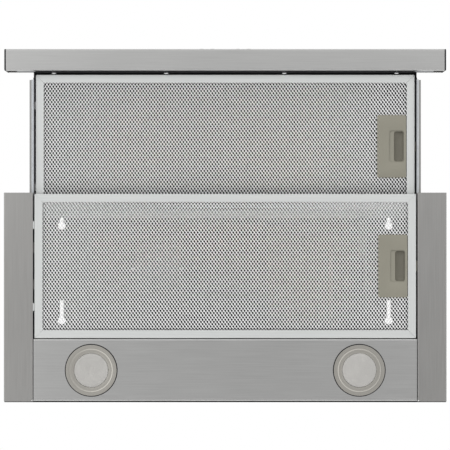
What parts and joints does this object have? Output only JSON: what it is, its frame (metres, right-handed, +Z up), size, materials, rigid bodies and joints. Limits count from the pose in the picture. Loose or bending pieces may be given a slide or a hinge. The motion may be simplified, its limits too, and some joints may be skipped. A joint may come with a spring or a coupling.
{
  "type": "pull-out range hood",
  "caption": "Slim cooker hood with a pull-out drawer, push-button steel front, latched mesh grease filters, recessed lamps, centrifugal fan and a flapped duct collar.",
  "frame": {"origin": "on the top face of the tray, which lies against the cabinet, midway between the sides and 12 mm in front of the wings' rear edge", "axes": "+Z up, the user stands at -Y, +X to the user's right"},
  "size_m": [0.599, 0.4798, 0.2366],
  "materials": {
    "brushed_steel": "stainless sheet, brushed and satin",
    "zinc_sheet": "zinc-plated sheet, dull",
    "bright_steel": "nickel-plated, bright",
    "black_sheet": "black powder coat",
    "filter_aluminium": "rolled and expanded aluminium, satin",
    "olive_abs": "moulded, grey-olive, matte",
    "black_abs": "moulded, black, matte",
    "grey_abs": "moulded, grey, matte",
    "white_abs": "moulded, white",
    "frosted_glass": "frosted",
    "satin_nickel": "satin, turned",
    "motor_steel": "laminated and pressed steel"
  },
  "bodies": {
    "root": {"base_tray": "black_sheet", "left_side_wing": "brushed_steel", "right_side_wing": "brushed_steel", "lamp_panel": "brushed_steel", "left_lamp_bezel": "satin_nickel", "left_lamp_lens": "frosted_glass", "left_lamp_body": "motor_steel", "right_lamp_bezel": "satin_nickel", "right_lamp_lens": "frosted_glass", "right_lamp_body": "motor_steel", "led_driver": "white_abs", "drawer_switch": "black_abs", "left_fixed_slide": "zinc_sheet", "right_fixed_slide": "zinc_sheet", "blower_housing": "zinc_sheet", "cable_gland": "black_abs", "outlet_collar": "black_abs", "flap_pin": "bright_steel", "fan_scroll": "black_abs", "scroll_cover": "black_abs", "inlet_guard": "zinc_sheet", "motor_bracket": "zinc_sheet", "motor_cap_inner": "motor_steel", "motor_cap_outer": "motor_steel", "motor_stator": "motor_steel", "capacitor": "white_abs", "control_box": "white_abs", "control_box_lid": "grey_abs"},
    "drawer": {"drawer_frame": "black_sheet", "drawer_cover": "black_sheet", "fascia": "brushed_steel", "fascia_backplate": "zinc_sheet", "fascia_cap_left": "black_abs", "fascia_cap_right": "black_abs", "fascia_screw_1": "bright_steel", "fascia_screw_2": "bright_steel", "fascia_screw_3": "bright_steel", "fascia_screw_4": "bright_steel", "switch_block": "grey_abs", "left_drawer_slide": "bright_steel", "right_drawer_slide": "bright_steel"},
    "left_cage": {"left_ball_cage": "bright_steel"},
    "right_cage": {"right_ball_cage": "bright_steel"},
    "button_1": {"push_button_1": "bright_steel"},
    "button_2": {"push_button_2": "bright_steel"},
    "button_3": {"push_button_3": "bright_steel"},
    "button_4": {"push_button_4": "bright_steel"},
    "rear_filter": {"rear_filter_frame": "filter_aluminium", "rear_filter_mesh": "filter_aluminium", "rear_latch_plate": "olive_abs"},
    "rear_latch": {"rear_latch_slider": "olive_abs"},
    "front_filter": {"front_filter_frame": "filter_aluminium", "front_filter_mesh": "filter_aluminium", "front_latch_plate": "olive_abs"},
    "front_latch": {"front_latch_slider": "olive_abs"},
    "impeller": {"impeller": "grey_abs", "motor_shaft": "bright_steel", "motor_rotor": "motor_steel"},
    "front_flap": {"front_outlet_flap": "black_abs"},
    "rear_flap": {"rear_outlet_flap": "black_abs"}
  },
  "joints": [
    {"name": "drawer_slide", "type": "slide", "parent": "root", "child": "drawer", "axis": [0, -1, 0], "range_m": [-0.165, 0]},
    {"name": "left_cage_roll", "type": "slide", "parent": "root", "child": "left_cage", "axis": [0, -1, 0], "range_m": [-0.0825, 0]},
    {"name": "right_cage_roll", "type": "slide", "parent": "root", "child": "right_cage", "axis": [0, -1, 0], "range_m": [-0.0825, 0]},
    {"name": "button_1_press", "type": "slide", "parent": "drawer", "child": "button_1", "axis": [0, 1, 0], "range_m": [0, 0.002], "stiffness_N_per_m": 600, "springref_m": -0.001},
    {"name": "button_2_press", "type": "slide", "parent": "drawer", "child": "button_2", "axis": [0, 1, 0], "range_m": [0, 0.002], "stiffness_N_per_m": 600, "springref_m": -0.001},
    {"name": "button_3_press", "type": "slide", "parent": "drawer", "child": "button_3", "axis": [0, 1, 0], "range_m": [0, 0.002], "stiffness_N_per_m": 600, "springref_m": -0.001},
    {"name": "button_4_press", "type": "slide", "parent": "drawer", "child": "button_4", "axis": [0, 1, 0], "range_m": [0, 0.002], "stiffness_N_per_m": 600, "springref_m": -0.001},
    {"name": "rear_filter_tilt", "type": "hinge", "parent": "root", "child": "rear_filter", "pos_m": [-0.2604, -0.1722, -0.0421], "axis": [0, 1, 0], "range_deg": [0, 30]},
    {"name": "rear_latch_pull", "type": "slide", "parent": "rear_filter", "child": "rear_latch", "axis": [-1, 0, 0], "range_m": [0, 0.005], "stiffness_N_per_m": 200, "springref_m": -0.003},
    {"name": "front_filter_tilt", "type": "hinge", "parent": "drawer", "child": "front_filter", "pos_m": [-0.2596, -0.3348, -0.0261], "axis": [0, 1, 0], "range_deg": [0, 30]},
    {"name": "front_latch_pull", "type": "slide", "parent": "front_filter", "child": "front_latch", "axis": [-1, 0, 0], "range_m": [0, 0.005], "stiffness_N_per_m": 200, "springref_m": -0.003},
    {"name": "impeller_spin", "type": "hinge", "parent": "root", "child": "impeller", "pos_m": [0, -0.165, 0.076], "axis": [1, 0, 0], "continuous": true},
    {"name": "front_flap_swing", "type": "hinge", "parent": "root", "child": "front_flap", "pos_m": [0, -0.113, 0.168], "axis": [-1, 0, 0], "range_deg": [0, 78]},
    {"name": "rear_flap_swing", "type": "hinge", "parent": "root", "child": "rear_flap", "pos_m": [0, -0.113, 0.168], "axis": [1, 0, 0], "range_deg": [0, 78]}
  ],
  "couplings": [
    {"joint": "left_cage_roll", "follows": "drawer_slide", "ratio": 0.5},
    {"joint": "right_cage_roll", "follows": "drawer_slide", "ratio": 0.5},
    {"joint": "front_filter_tilt", "follows": "rear_filter_tilt", "ratio": 1}
  ]
}
